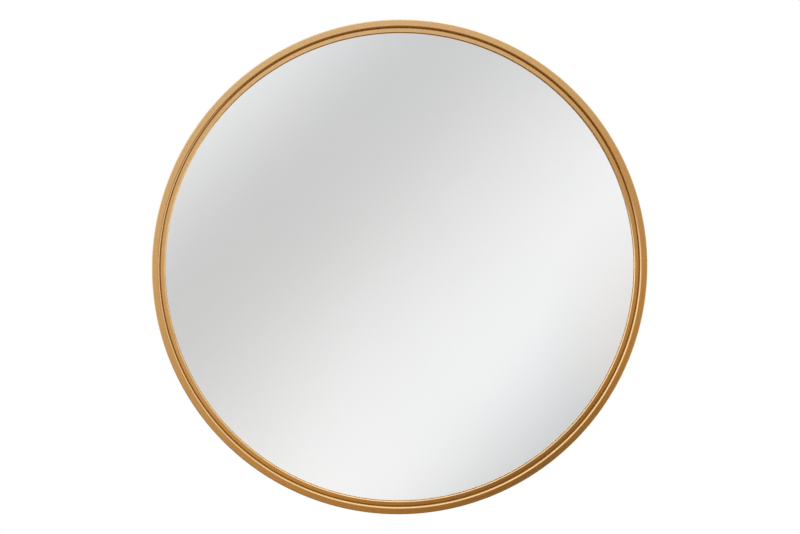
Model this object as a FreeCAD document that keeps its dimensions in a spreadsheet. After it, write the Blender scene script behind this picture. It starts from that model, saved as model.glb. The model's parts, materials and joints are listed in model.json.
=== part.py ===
import FreeCAD, Part
import math
import os
import re
import Sketcher

# A round wall mirror. Its satin gold frame comes down to the pane in two steps: a raised outer rim, rolled
# from rectangular tube, and a flat ledge welded inside it, set back from the rim's front. Behind the ledge
# lie the glazing tape, the pane, its silvering, a film, a foam sheet and a board. Turn buttons on the back
# of the rim hold the board in, and two strap hangers on the board carry the mirror.
# +Z is up, the mirror faces -Y, and the wall is the plane Y = 0, with the origin on the pane's axis.

sizes = {
    # Outer rim: the tube's face, wall and eased arrises
    "rim_diameter": 800,
    "rim_width": 12,
    "rim_wall": 1.2,
    "rim_arris": 1.5,
    # Inner ledge: how far it lies behind the rim's front, its plate, and its bevelled lip round the pane
    "ledge_set_back": 4.8,
    "ledge_thickness": 2.5,
    "ledge_width": 8.65,
    "ledge_gap": 0.05,
    "lip_width": 2.0,
    "lip_land": 0.5,
    # Layers behind the ledge, from the front to the back
    "tape_thickness": 0.5,
    "tape_inset": 2.5,
    "tape_edge_gap": 0.7,
    "glass_thickness": 2.9,
    "glass_arris": 0.5,
    "coat_thickness": 0.1,
    "film_thickness": 0.2,
    "foam_thickness": 3.0,
    "board_thickness": 6.0,
    "board_arris": 0.5,
    "pane_edge_gap": 1.2,
    # Turn buttons: stamped strips that pivot on screws in the rim's rear wall
    "button_count": 8,
    "button_thickness": 1.2,
    "button_eye_radius": 4.6,
    "button_tip_radius": 3.4,
    "button_reach": 21,
    "button_tip_length": 8.4,
    "button_tip_angle": 14,
    "button_gap": 0.1,
    "button_screw_radius": 1.75,
    "button_screw_length": 8,
    "button_head_radius": 3.4,
    "button_head_height": 2.2,
    "button_head_bevel": 1.0,
    "pivot_gap": 0.08,
    # Strap hangers: a strip with a knuckle curled round the ring's straight leg
    "hanger_inset": 104,
    "hanger_angle": 45,
    "strap_width": 14,
    "strap_thickness": 1.0,
    "strap_end": 8,
    "strap_corner": 5,
    "knuckle_mouth": 0.28,
    "hanger_head_gap": 3,
    "hanger_hole_pitch": 14,
    "hanger_screw_radius": 1.75,
    "board_cover": 1.4,
    "hanger_head_radius": 3.3,
    "hanger_head_height": 2.0,
    "hanger_head_bevel": 0.9,
    "screw_point": 2.0,
    "screw_gap": 0.05,
    # Hanger rings: wire bent to a D, with its ends meeting inside the knuckle
    "ring_wire_radius": 1.25,
    "ring_play": 0.3,
    "ring_end_play": 0.5,
    "ring_corner": 3.5,
    "ring_side": 5,
    "ring_butt_gap": 0.4,
    # Wall bumpers: rubber feet stuck to the board
    "bumper_height": 6.5,
    "bumper_radius": 6,
    "bumper_bevel": 1.2,
    "bumper_count": 4,
    "bumper_inset": 12,
    # How far every cut runs past the solid, and the most of a strip's width that one corner rounds
    "overrun": 1,
    "rounding_share": 0.45,
}

derived = {
    "rim_radius": "rim_diameter / 2",
    "rim_inner": "rim_radius - rim_width",
    "rim_bore_outer": "rim_radius - rim_wall",
    "rim_bore_inner": "rim_inner + rim_wall",
    "rim_middle": "rim_radius - rim_width / 2",
    "ledge_outer": "rim_inner - ledge_gap",
    "ledge_inner": "ledge_outer - ledge_width",
    "lip_front_radius": "ledge_inner + lip_width",
    "pane_radius": "rim_inner - pane_edge_gap",
    "tape_inner": "ledge_inner + tape_inset",
    "tape_outer": "pane_radius - tape_edge_gap",
    # Stations along Y, from the back of the frame forward
    "rim_back": "-bumper_height",
    "board_front": "rim_back - board_thickness",
    "foam_front": "board_front - foam_thickness",
    "film_front": "foam_front - film_thickness",
    "coat_front": "film_front - coat_thickness",
    "glass_front": "coat_front - glass_thickness",
    "ledge_back": "glass_front - tape_thickness",
    "ledge_front": "ledge_back - ledge_thickness",
    "rim_front": "ledge_front - ledge_set_back",
    "lip_back": "ledge_back - lip_land",
    # Turn buttons, in their own frame: Y away from the rim, Z outward along the mirror's radius
    "button_top": "button_gap + button_thickness",
    "button_pitch": "360 / button_count",
    "button_hole_radius": "button_screw_radius + pivot_gap",
    "button_screw_seat": "button_top + button_gap",
    "button_end": "button_reach + button_tip_radius",
    "button_flat": "button_end - button_tip_length",
    "button_half": "max(button_eye_radius; button_tip_radius)",
    "button_tip_rise": "button_tip_length * tan(button_tip_angle)",
    "button_bend_shift": "button_thickness * tan(button_tip_angle / 2)",
    "button_screw_hole": "button_screw_radius + screw_gap",
    # Hangers, in their own frame: Y away from the board, Z up, with the knuckle at the top
    "knuckle_inner": "ring_wire_radius + ring_play",
    "knuckle_outer": "knuckle_inner + strap_thickness",
    "knuckle_axis": "strap_thickness + knuckle_inner",
    "knuckle_end": "-acos((knuckle_mouth - knuckle_inner) / knuckle_outer)",
    "ring_leg": "strap_width / 2 + ring_end_play",
    "ring_half": "ring_leg + ring_corner",
    "ring_bow_drop": "ring_corner + ring_side",
    "ring_drop": "ring_bow_drop + ring_half + ring_wire_radius",
    "hanger_across": "(pane_radius - hanger_inset) * sin(hanger_angle)",
    "hanger_height": "(pane_radius - hanger_inset) * cos(hanger_angle)",
    "hanger_hole_first": "ring_drop + hanger_head_gap + hanger_head_radius",
    "hanger_hole_second": "hanger_hole_first + hanger_hole_pitch",
    "hanger_hole_radius": "hanger_screw_radius + screw_gap",
    "hanger_screw_depth": "board_thickness - board_cover",
    "hanger_screw_length": "hanger_screw_depth + strap_thickness",
    "strap_length": "hanger_hole_second + strap_end",
    "strap_rounding": "min(strap_corner; strap_width * rounding_share)",
    "bumper_circle": "pane_radius - bumper_inset",
    "bumper_pitch": "360 / bumper_count",
}

doc = FreeCAD.newDocument("round_mirror")
sheet = doc.addObject("Spreadsheet::Sheet", "Sizes")
cells = {alias: str(value) for alias, value in sizes.items()}
cells.update({alias: "=" + formula for alias, formula in derived.items()})
for row, (alias, content) in enumerate(cells.items(), start=1):
    sheet.set(f"A{row}", alias)
    sheet.set(f"B{row}", content)
    sheet.setAlias(f"B{row}", alias)
doc.recompute()


def named(formula):
    """The formula with every alias read from the sheet."""
    return re.sub(r"[a-z_]+", lambda word: "Sizes." * (word[0] in cells) + word[0], formula)


def worth(formula):
    """The formula's value now."""
    return float(sheet.evalExpression(named(formula)))


def bind(thing, formulas):
    """Ties properties to the sheet."""
    for place, formula in formulas.items():
        thing.setExpression(place, named(formula))


def point(across, up):
    return FreeCAD.Vector(worth(across), worth(up), 0)


def new_body(label):
    body = doc.addObject("PartDesign::Body", label)
    body.Label = label
    return body


def new_sketch(body, name, plane):
    """A sketch on one of the body's own origin planes."""
    sketch = body.newObject("Sketcher::SketchObject", name)
    base = next(each for each in body.Origin.OriginFeatures if each.Role == plane)
    sketch.AttachmentSupport = [(base, "")]
    sketch.MapMode = "FlatFace"
    return sketch


def dimension(sketch, kind, ends, formula):
    """A sketch dimension tied to the sheet."""
    place = sketch.addConstraint(Sketcher.Constraint(kind, *ends, worth(formula)))
    sketch.setExpression(f"Constraints[{place}]", named(formula))


def place_point(sketch, edge, end, across, up):
    """Sets a point of an edge at distances from the sketch's origin."""
    dimension(sketch, "DistanceX", (-1, 1, edge, end), across)
    dimension(sketch, "DistanceY", (-1, 1, edge, end), up)


def outline(sketch, corners):
    """A closed outline of straight edges through corners, each a pair of formulas."""
    first = sketch.GeometryCount
    count = len(corners)
    for here, there in zip(corners, corners[1:] + corners[:1]):
        sketch.addGeometry(Part.LineSegment(point(*here), point(*there)), False)
    for place, corner in enumerate(corners):
        before = first + (place - 1) % count
        sketch.addConstraint(Sketcher.Constraint("Coincident", before, 2, first + place, 1))
        place_point(sketch, first + place, 1, *corner)


def circle(sketch, across, up, radius):
    edge = sketch.addGeometry(Part.Circle(point(across, up), FreeCAD.Vector(0, 0, 1), worth(radius)), False)
    place_point(sketch, edge, 3, across, up)
    dimension(sketch, "Radius", (edge,), radius)


def arc(sketch, across, up, radius, start, end):
    """An arc that runs anticlockwise from one angle to another, before its constraints."""
    whole = Part.Circle(point(across, up), FreeCAD.Vector(0, 0, 1), worth(radius))
    piece = Part.ArcOfCircle(whole, math.radians(worth(start)), math.radians(worth(end)))
    return sketch.addGeometry(piece, False)


def line(sketch, here, there):
    return sketch.addGeometry(Part.LineSegment(point(*here), point(*there)), False)


def revolve(body, sketch):
    """Turns a section, drawn as radius across and Y up, round the body's Y axis."""
    turned = body.newObject("PartDesign::Revolution", sketch.Name + "_turned")
    turned.Profile = sketch
    turned.ReferenceAxis = (sketch, ["V_Axis"])
    sketch.Visibility = False
    return turned


def lathe_body(label, corners):
    """A body turned from one closed section."""
    body = new_body(label)
    sketch = new_sketch(body, label + "_section", "XY_Plane")
    outline(sketch, corners)
    revolve(body, sketch)
    doc.recompute()
    return body


def round_edges(body, chosen, radius):
    """Rounds the edges of the body's last feature for which chosen is true."""
    base = body.Tip
    names = [f"Edge{place}" for place, edge in enumerate(base.Shape.Edges, start=1) if chosen(edge)]
    rounding = body.newObject("PartDesign::Fillet", body.Name + "_rounding")
    rounding.Base = (base, names)
    bind(rounding, {"Radius": radius})
    doc.recompute()


def drill(body, name, circles, length):
    """Cuts round holes along the body's Y axis, to both sides of its XZ plane."""
    sketch = new_sketch(body, name, "XZ_Plane")
    for across, up, radius in circles:
        circle(sketch, across, up, radius)
    return cut(body, sketch, length)


def cut(body, sketch, length):
    """Cuts a sketch to both sides of its plane, and makes sure that it took something away."""
    before = body.Shape.Volume
    pocket = body.newObject("PartDesign::Pocket", sketch.Name + "_cut")
    pocket.Profile = sketch
    pocket.SideType = "Symmetric"
    bind(pocket, {"Length": length})
    doc.recompute()
    assert body.Shape.Volume < before, sketch.Name + " cuts nothing"
    return pocket


def pad(body, sketch, length):
    """Thickens a sketch to both sides of its plane."""
    thick = body.newObject("PartDesign::Pad", sketch.Name + "_thick")
    thick.Profile = sketch
    thick.SideType = "Symmetric"
    bind(thick, {"Length": length})
    doc.recompute()
    return thick


def place_on_circle(body, radius, station, angle):
    """Puts a body on a circle round the Y axis, turned so that its Z points outward."""
    body.Placement = FreeCAD.Placement(FreeCAD.Vector(), FreeCAD.Rotation(FreeCAD.Vector(0, 1, 0), 0))
    formulas = {
        "Placement.Base.x": f"({radius}) * sin({angle})",
        "Placement.Base.y": station,
        "Placement.Base.z": f"({radius}) * cos({angle})",
        "Placement.Rotation.Angle": angle,
    }
    bind(body, formulas)


def place_at(body, across, station, up):
    bind(body, {"Placement.Base.x": across, "Placement.Base.y": station, "Placement.Base.z": up})


# Outer rim: a rolled rectangular tube with eased arrises, hollow inside.
rim = new_body("outer_rim")
rim_section = new_sketch(rim, "rim_section", "XY_Plane")
rim_face = [("rim_inner", "rim_front + rim_arris"), ("rim_inner + rim_arris", "rim_front")]
rim_face += [("rim_radius - rim_arris", "rim_front"), ("rim_radius", "rim_front + rim_arris")]
rim_rear = [("rim_radius", "rim_back - rim_arris"), ("rim_radius - rim_arris", "rim_back")]
rim_rear += [("rim_inner + rim_arris", "rim_back"), ("rim_inner", "rim_back - rim_arris")]
outline(rim_section, rim_face + rim_rear)
bore_face = [("rim_bore_inner", "rim_front + rim_wall"), ("rim_bore_outer", "rim_front + rim_wall")]
bore_rear = [("rim_bore_outer", "rim_back - rim_wall"), ("rim_bore_inner", "rim_back - rim_wall")]
outline(rim_section, bore_face + bore_rear)
revolve(rim, rim_section)
doc.recompute()

# Rear holes of the rim: one for each button screw, through the rear wall only.
rim_hole = new_sketch(rim, "rim_screw_hole", "XZ_Plane")
bind(rim_hole, {"AttachmentOffset.Base.z": "-rim_back"})
first_hole = ("rim_middle * sin(button_pitch / 2)", "rim_middle * cos(button_pitch / 2)")
circle(rim_hole, *first_hole, "button_screw_hole")
rim_hole_cut = cut(rim, rim_hole, "(rim_wall + overrun) * 2")
drilled_once = rim.Shape.Volume
rim_holes = rim.newObject("PartDesign::PolarPattern", "rim_screw_holes")
rim_holes.Originals = [rim_hole_cut]
rim_holes.Axis = (rim_section, ["V_Axis"])
rim_holes.Angle = 360
bind(rim_holes, {"Occurrences": "button_count"})
rim.Tip = rim_holes
doc.recompute()
assert rim.Shape.Volume < drilled_once, "the rim's rear wall has one hole only"

# Inner ledge: a flat ring welded inside the rim, with its inner edge bevelled down to the pane.
weld_side = [("ledge_outer", "ledge_front"), ("ledge_outer", "ledge_back")]
lip_side = [("ledge_inner", "ledge_back"), ("ledge_inner", "lip_back"), ("lip_front_radius", "ledge_front")]
ledge = lathe_body("inner_ledge", weld_side + lip_side)

# Glazing tape: a soft ring between the ledge and the pane, kept back from the lip.
tape_ledge_side = [("tape_inner", "ledge_back"), ("tape_outer", "ledge_back")]
tape_pane_side = [("tape_outer", "glass_front"), ("tape_inner", "glass_front")]
tape = lathe_body("glazing_tape", tape_ledge_side + tape_pane_side)

# Pane: float glass with ground arrises.
glass_rim_front = [("pane_radius - glass_arris", "glass_front"), ("pane_radius", "glass_front + glass_arris")]
glass_rim_back = [("pane_radius", "coat_front - glass_arris"), ("pane_radius - glass_arris", "coat_front")]
glass_axis = [("0", "coat_front"), ("0", "glass_front")]
glass = lathe_body("mirror_glass", glass_axis + glass_rim_front + glass_rim_back)


def disc(label, radius, front, thickness):
    """A plain layer, with its axis along Y."""
    layer = doc.addObject("Part::Cylinder", label)
    layer.Label = label
    layer.Placement = FreeCAD.Placement(FreeCAD.Vector(), FreeCAD.Rotation(FreeCAD.Vector(1, 0, 0), -90))
    bind(layer, {"Radius": radius, "Height": thickness, "Placement.Base.y": front})
    return layer


# Layers on the pane's back: the silvering, held off the ground arris, the film, and the foam sheet.
coat = disc("silver_coat", "pane_radius - glass_arris", "coat_front", "coat_thickness")
film = disc("safety_film", "pane_radius - glass_arris", "film_front", "film_thickness")
foam = disc("foam_sheet", "pane_radius", "foam_front", "foam_thickness")

# Backing board: a fibreboard disc, level with the rim's back, drilled for the hanger screws.
board_rim_front = [("pane_radius - board_arris", "board_front"), ("pane_radius", "board_front + board_arris")]
board_rim_back = [("pane_radius", "rim_back - board_arris"), ("pane_radius - board_arris", "rim_back")]
board_axis = [("0", "rim_back"), ("0", "board_front")]
board = lathe_body("backing_board", board_axis + board_rim_front + board_rim_back)
pilot_holes = new_sketch(board, "pilot_holes", "XZ_Plane")
bind(pilot_holes, {"AttachmentOffset.Base.z": "-rim_back"})
hanger_sides = {"left": "-hanger_across", "right": "hanger_across"}
for hanger_across in hanger_sides.values():
    for hole in ("hanger_hole_first", "hanger_hole_second"):
        circle(pilot_holes, hanger_across, f"hanger_height - {hole}", "hanger_hole_radius")
cut(board, pilot_holes, "(hanger_screw_depth + screw_gap) * 2")


def turn_button(place):
    """A stamped strip that pivots at its eye and reaches over the board, with its tip turned up."""
    body = new_body(f"turn_button_{place}")
    side = new_sketch(body, f"button_side_{place}", "YZ_Plane")
    under = [("button_gap", "button_eye_radius"), ("button_gap", "-button_flat")]
    tip = [("button_gap + button_tip_rise", "-button_end"), ("button_top + button_tip_rise", "-button_end")]
    top = [("button_top", "button_bend_shift - button_flat"), ("button_top", "button_eye_radius")]
    outline(side, under + tip + top)
    pad(body, side, "button_half * 2")
    trim = new_sketch(body, f"button_trim_{place}", "XZ_Plane")
    wide = "button_half + overrun"
    narrow = "-button_half - overrun"
    low = "-button_end - overrun"
    outline(trim, [(narrow, low), (wide, low), (wide, wide), (narrow, wide)])
    teardrop(trim)
    cut(body, trim, "(button_top + button_tip_rise + overrun) * 2")
    eye = f"button_eye_{place}"
    drill(body, eye, [("0", "0", "button_hole_radius")], "(button_top + overrun) * 2")
    place_on_circle(body, "rim_middle", "rim_back", f"({place} - 0.5) * button_pitch")
    return body


def teardrop(sketch):
    """The button's plan: a large round eye and a smaller round tip, joined by tangent sides."""
    lean = "asin((button_eye_radius - button_tip_radius) / button_reach)"
    eye = arc(sketch, "0", "0", "button_eye_radius", f"-{lean}", f"180 deg + {lean}")
    tip = arc(sketch, "0", "-button_reach", "button_tip_radius", f"180 deg + {lean}", f"360 deg - {lean}")
    eye_side = (f"button_eye_radius * cos({lean})", f"-button_eye_radius * sin({lean})")
    tip_side = (f"button_tip_radius * cos({lean})", f"-button_reach - button_tip_radius * sin({lean})")
    right = line(sketch, eye_side, tip_side)
    left = line(sketch, (f"-{eye_side[0]}", eye_side[1]), (f"-{tip_side[0]}", tip_side[1]))
    ends = [(eye, 1, right, 1), (right, 2, tip, 2), (tip, 1, left, 2), (left, 1, eye, 2)]
    for joined in ends:
        sketch.addConstraint(Sketcher.Constraint("Tangent", *joined))
    place_point(sketch, eye, 3, "0", "0")
    place_point(sketch, tip, 3, "0", "-button_reach")
    dimension(sketch, "Radius", (eye,), "button_eye_radius")
    dimension(sketch, "Radius", (tip,), "button_tip_radius")


def screw(label, sizes_of, seat):
    """A pan-head screw along Y: its head lies on seat, and its pointed shank runs towards -Y."""
    shank = f"{sizes_of}_screw_radius"
    head = f"{sizes_of}_head_radius"
    crown = f"{seat} + {sizes_of}_head_height"
    tip = f"{seat} - {sizes_of}_screw_length"
    shank_side = [("0", tip), (shank, f"{tip} + screw_point"), (shank, seat)]
    bevel = f"{sizes_of}_head_bevel"
    head_side = [(head, seat), (head, f"{crown} - {bevel}"), (f"{head} - {bevel}", crown), ("0", crown)]
    return lathe_body(label, shank_side + head_side)


def group(label, members):
    """Like pieces kept as one named set of separate solids."""
    whole = doc.addObject("Part::Compound", label)
    whole.Label = label
    whole.Links = members
    return whole


# Turn buttons and their pivot screws, evenly spaced on the middle of the rim's back.
button_places = range(1, int(worth("button_count")) + 1)
buttons = [turn_button(place) for place in button_places]
button_screws = []
for place in button_places:
    pivot = screw(f"turn_button_screw_{place}", "button", "button_screw_seat")
    place_on_circle(pivot, "rim_middle", "rim_back", f"({place} - 0.5) * button_pitch")
    button_screws.append(pivot)
pivots = group("turn_button_screws", button_screws)


def hanger_strap(side, across):
    """A strip that lies on the board, with its top end curled into a knuckle and two screw holes below."""
    body = new_body(f"hanger_strap_{side}")
    edge_view = new_sketch(body, f"strap_side_{side}", "YZ_Plane")
    under = line(edge_view, ("0", "-strap_length"), ("0", "0"))
    outer = arc(edge_view, "knuckle_axis", "0", "knuckle_outer", "knuckle_end", "180")
    inner = arc(edge_view, "knuckle_axis", "0", "knuckle_inner", "knuckle_end", "180")
    upper = line(edge_view, ("strap_thickness", "0"), ("strap_thickness", "-strap_length"))
    foot = line(edge_view, ("strap_thickness", "-strap_length"), ("0", "-strap_length"))
    outer_end = ("knuckle_axis + knuckle_outer * cos(knuckle_end)", "knuckle_outer * sin(knuckle_end)")
    inner_end = ("knuckle_axis + knuckle_inner * cos(knuckle_end)", "knuckle_inner * sin(knuckle_end)")
    mouth = line(edge_view, outer_end, inner_end)
    meetings = [(under, 2, outer, 2), (outer, 1, mouth, 1), (mouth, 2, inner, 1), (inner, 2, upper, 1)]
    for meeting in meetings + [(upper, 2, foot, 1), (foot, 2, under, 1)]:
        edge_view.addConstraint(Sketcher.Constraint("Coincident", *meeting))
    place_point(edge_view, outer, 3, "knuckle_axis", "0")
    edge_view.addConstraint(Sketcher.Constraint("Coincident", inner, 3, outer, 3))
    dimension(edge_view, "Radius", (outer,), "knuckle_outer")
    dimension(edge_view, "Radius", (inner,), "knuckle_inner")
    place_point(edge_view, under, 1, "0", "-strap_length")
    place_point(edge_view, upper, 2, "strap_thickness", "-strap_length")
    dimension(edge_view, "DistanceY", (-1, 1, under, 2), "0")
    dimension(edge_view, "DistanceY", (-1, 1, upper, 1), "0")
    dimension(edge_view, "DistanceY", (-1, 1, mouth, 1), outer_end[1])
    dimension(edge_view, "DistanceY", (-1, 1, mouth, 2), inner_end[1])
    pad(body, edge_view, "strap_width")
    round_edges(body, is_foot_corner, "strap_rounding")
    holes = [("0", f"-{hole}", "hanger_hole_radius") for hole in ("hanger_hole_first", "hanger_hole_second")]
    drill(body, f"strap_holes_{side}", holes, "(strap_thickness + overrun) * 2")
    place_at(body, across, "rim_back", "hanger_height")
    return body


# The strap's foot is told apart within this share of its thickness.
match_share = 0.0001


def is_foot_corner(edge):
    """Is the edge one of the two short ones through the strap's foot?"""
    box = edge.BoundBox
    slack = worth("strap_thickness") * match_share
    return abs(box.ZMax + worth("strap_length")) < slack and box.XLength < slack


def hanger_ring(side, across):
    """Round wire bent to a D that hangs from its straight leg, where the wire's two ends meet."""
    body = new_body(f"hanger_ring_{side}")
    path = new_sketch(body, f"ring_path_{side}", "XZ_Plane")
    half_gap = "ring_butt_gap / 2"
    leg_right = line(path, (half_gap, "0"), ("ring_leg", "0"))
    corner_right = arc(path, "ring_leg", "-ring_corner", "ring_corner", "0", "90")
    side_right = line(path, ("ring_half", "-ring_corner"), ("ring_half", "-ring_bow_drop"))
    bow = arc(path, "0", "-ring_bow_drop", "ring_half", "180", "360")
    side_left = line(path, ("-ring_half", "-ring_bow_drop"), ("-ring_half", "-ring_corner"))
    corner_left = arc(path, "-ring_leg", "-ring_corner", "ring_corner", "90", "180")
    leg_left = line(path, ("-ring_leg", "0"), (f"-{half_gap}", "0"))
    right_ends = [(leg_right, 2, corner_right, 2), (corner_right, 1, side_right, 1), (side_right, 2, bow, 2)]
    left_ends = [(bow, 1, side_left, 1), (side_left, 2, corner_left, 2), (corner_left, 1, leg_left, 1)]
    for joined in right_ends + left_ends:
        path.addConstraint(Sketcher.Constraint("Tangent", *joined))
    for leg in (leg_right, leg_left):
        path.addConstraint(Sketcher.Constraint("Horizontal", leg))
    for upright in (side_right, side_left):
        path.addConstraint(Sketcher.Constraint("Vertical", upright))
    place_point(path, leg_right, 1, half_gap, "0")
    place_point(path, leg_left, 2, f"-{half_gap}", "0")
    place_point(path, bow, 3, "0", "-ring_bow_drop")
    dimension(path, "Radius", (bow,), "ring_half")
    dimension(path, "Radius", (corner_right,), "ring_corner")
    dimension(path, "Radius", (corner_left,), "ring_corner")
    section = new_sketch(body, f"ring_section_{side}", "YZ_Plane")
    bind(section, {"AttachmentOffset.Base.z": half_gap})
    circle(section, "0", "0", "ring_wire_radius")
    doc.recompute()
    wire = body.newObject("PartDesign::AdditivePipe", f"ring_wire_{side}")
    wire.Profile = section
    wire.Spine = path
    doc.recompute()
    place_at(body, across, "rim_back + knuckle_axis", "hanger_height")
    return body


# Strap hangers: strap, ring and two screws on each side of the board's upper half.
straps = [hanger_strap(side, across) for side, across in hanger_sides.items()]
rings = [hanger_ring(side, across) for side, across in hanger_sides.items()]
strap_screws = []
for side, across in hanger_sides.items():
    for order, hole in (("upper", "hanger_hole_first"), ("lower", "hanger_hole_second")):
        fixing = screw(f"hanger_screw_{side}_{order}", "hanger", "strap_thickness")
        place_at(fixing, across, "rim_back", f"hanger_height - {hole}")
        strap_screws.append(fixing)
fixings = group("hanger_screws", strap_screws)

# Wall bumpers: rubber feet on the board, spaced between the turn buttons.
feet = []
for place in range(1, int(worth("bumper_count")) + 1):
    foot_base = [("0", "0"), ("bumper_radius", "0")]
    foot_side = [("bumper_radius", "bumper_height - bumper_bevel")]
    foot_face = [("bumper_radius - bumper_bevel", "bumper_height"), ("0", "bumper_height")]
    foot = lathe_body(f"wall_bumper_{place}", foot_base + foot_side + foot_face)
    place_on_circle(foot, "bumper_circle", "rim_back", f"({place} - 0.5) * bumper_pitch")
    feet.append(foot)
bumpers = group("wall_bumpers", feet)

doc.recompute()
failed = [each.Label for each in doc.Objects if {"Invalid", "Error"} & set(each.State)]
assert not failed, f"these failed: {failed}"
pieces = [rim, ledge, tape, glass, coat, film, foam, board] + buttons + [pivots]
pieces += straps + rings + [fixings, bumpers]
for piece in pieces:
    assert not piece.Shape.isNull() and piece.Shape.isValid(), f"{piece.Label} has no valid shape"
os.makedirs("parts", exist_ok=True)
for piece in pieces:
    piece.Shape.exportStep(f"parts/{piece.Label}.step")
    print(piece.Label, len(piece.Shape.Solids), round(piece.Shape.Volume))
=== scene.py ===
import json
import math

import bmesh
import bpy
from mathutils import Matrix, Vector


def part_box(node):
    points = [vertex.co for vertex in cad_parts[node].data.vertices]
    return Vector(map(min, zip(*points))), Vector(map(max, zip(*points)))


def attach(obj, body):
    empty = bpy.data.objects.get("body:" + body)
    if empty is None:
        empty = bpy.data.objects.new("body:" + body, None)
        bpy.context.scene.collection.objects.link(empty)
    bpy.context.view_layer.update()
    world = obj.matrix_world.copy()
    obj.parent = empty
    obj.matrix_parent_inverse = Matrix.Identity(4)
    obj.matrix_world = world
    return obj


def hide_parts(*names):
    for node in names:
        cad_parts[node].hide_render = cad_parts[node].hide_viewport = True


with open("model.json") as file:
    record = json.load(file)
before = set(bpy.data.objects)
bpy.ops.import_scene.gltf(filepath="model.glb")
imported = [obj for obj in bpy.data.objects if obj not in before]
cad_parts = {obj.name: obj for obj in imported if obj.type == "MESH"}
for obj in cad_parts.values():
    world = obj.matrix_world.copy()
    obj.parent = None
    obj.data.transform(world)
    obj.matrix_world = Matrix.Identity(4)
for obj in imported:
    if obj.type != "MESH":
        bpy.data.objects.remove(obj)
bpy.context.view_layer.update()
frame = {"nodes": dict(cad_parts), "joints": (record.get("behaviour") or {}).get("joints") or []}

# Outer rim: rectangular aluminium tube rolled to a hoop, welded end to end and ground flush, then
# anodised a satin gold. Its front is eased outside and well rounded inside, where its toe laps the
# ledge and hides the weld between them. Fine polishing lines run round it.
rim_low, rim_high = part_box("outer_rim")
rim_radius = rim_high.x
rim_front = rim_low.y
rim_back = rim_high.y
rim_face = 0.0120
rim_toe = 0.0007
rim_shoulder = 0.0034
rim_front_round = 0.0012
rim_back_round = 0.0018
rim_crease = 0.0002
rim_inner = rim_radius - rim_face
ledge_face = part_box("inner_ledge")[0].y
toe_inner = rim_inner - rim_toe
toe_back = ledge_face - rim_crease / 4
hoop_steps = 480
line_length = 0.03
line_pitch = 0.00025
line_depth = 0.00001
line_share = 0.35
satin_speck = 0.0016
satin_roughness = (0.19, 0.26)
rubbed_reach = 0.0016
rubbed_share = 0.3
# Reach and strength of the painted shade laid along the seam where the rim's toe meets the ledge.
seam_reach = 0.0015
seam_strength = 1.6
gold_deep = (0.52, 0.325, 0.145)
gold_mean = (0.60, 0.40, 0.195)
gold_pale = (0.67, 0.465, 0.245)
gold_worn = (0.80, 0.62, 0.38)
# Brown of that painted shade, standing in for the shadow in the seam.
painted_shade_brown = (0.29, 0.135, 0.024)


def link(tree, source, target):
    """Joins an output socket to an input socket."""
    tree.links.new(source, target)


def put(tree, value, socket):
    """Sets an input socket to a number or a colour, or joins another socket to it."""
    if isinstance(value, (int, float)):
        socket.default_value = value
    elif isinstance(value, tuple):
        socket.default_value = (*value, 1)
    else:
        link(tree, value, socket)


def new_group(tree_kind, name, takes, gives):
    """An empty node group with named inputs and outputs, and its two end nodes."""
    group = bpy.data.node_groups.new(name, tree_kind)
    for way, sockets in (("INPUT", takes), ("OUTPUT", gives)):
        for word, kind in sockets.items():
            group.interface.new_socket(word, in_out=way, socket_type="NodeSocket" + kind)
    return group, group.nodes.new("NodeGroupInput"), group.nodes.new("NodeGroupOutput")


def finish_tree(tree, shape, given, made):
    """Ends a geometry tree: makes its shape one plain mesh and gives it its finish."""
    whole = tree.nodes.new("GeometryNodeRealizeInstances")
    dressed = tree.nodes.new("GeometryNodeSetMaterial")
    link(tree, shape, whole.inputs["Geometry"])
    link(tree, whole.outputs["Geometry"], dressed.inputs["Geometry"])
    link(tree, given.outputs["Finish"], dressed.inputs["Material"])
    link(tree, dressed.outputs["Geometry"], made.inputs[0])


def hoop_tree():
    """Sweeps a closed section, drawn as distance out from a path and station, round the axis."""
    takes = {"Section": "Geometry", "Path Radius": "Float", "Steps": "Int", "Finish": "Material"}
    tree, given, made = new_group("GeometryNodeTree", "hoop", takes, {"Hoop": "Geometry"})
    section = tree.nodes.new("GeometryNodeMeshToCurve")
    path = tree.nodes.new("GeometryNodeCurvePrimitiveCircle")
    level = tree.nodes.new("GeometryNodeSetCurveNormal")
    level.mode = "Z_UP"
    swept = tree.nodes.new("GeometryNodeCurveToMesh")
    upright = tree.nodes.new("GeometryNodeTransform")
    upright.inputs["Rotation"].default_value = (math.pi / 2, 0, 0)
    smooth = tree.nodes.new("GeometryNodeSetShadeSmooth")
    link(tree, given.outputs["Section"], section.inputs["Mesh"])
    link(tree, given.outputs["Path Radius"], path.inputs["Radius"])
    link(tree, given.outputs["Steps"], path.inputs["Resolution"])
    link(tree, path.outputs["Curve"], level.inputs["Curve"])
    link(tree, level.outputs["Curve"], swept.inputs["Curve"])
    link(tree, section.outputs["Curve"], swept.inputs["Profile Curve"])
    link(tree, swept.outputs["Mesh"], upright.inputs["Geometry"])
    link(tree, upright.outputs["Geometry"], smooth.inputs["Geometry"])
    finish_tree(tree, smooth.outputs["Geometry"], given, made)
    return tree


def face_outward(mesh):
    """Merges doubled corners and turns every face of a closed mesh outward."""
    merge_reach = 1e-7
    shape = bmesh.new()
    shape.from_mesh(mesh)
    bmesh.ops.remove_doubles(shape, verts=shape.verts, dist=merge_reach)
    bmesh.ops.recalc_face_normals(shape, faces=shape.faces)
    shape.to_mesh(mesh)
    shape.free()


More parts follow.
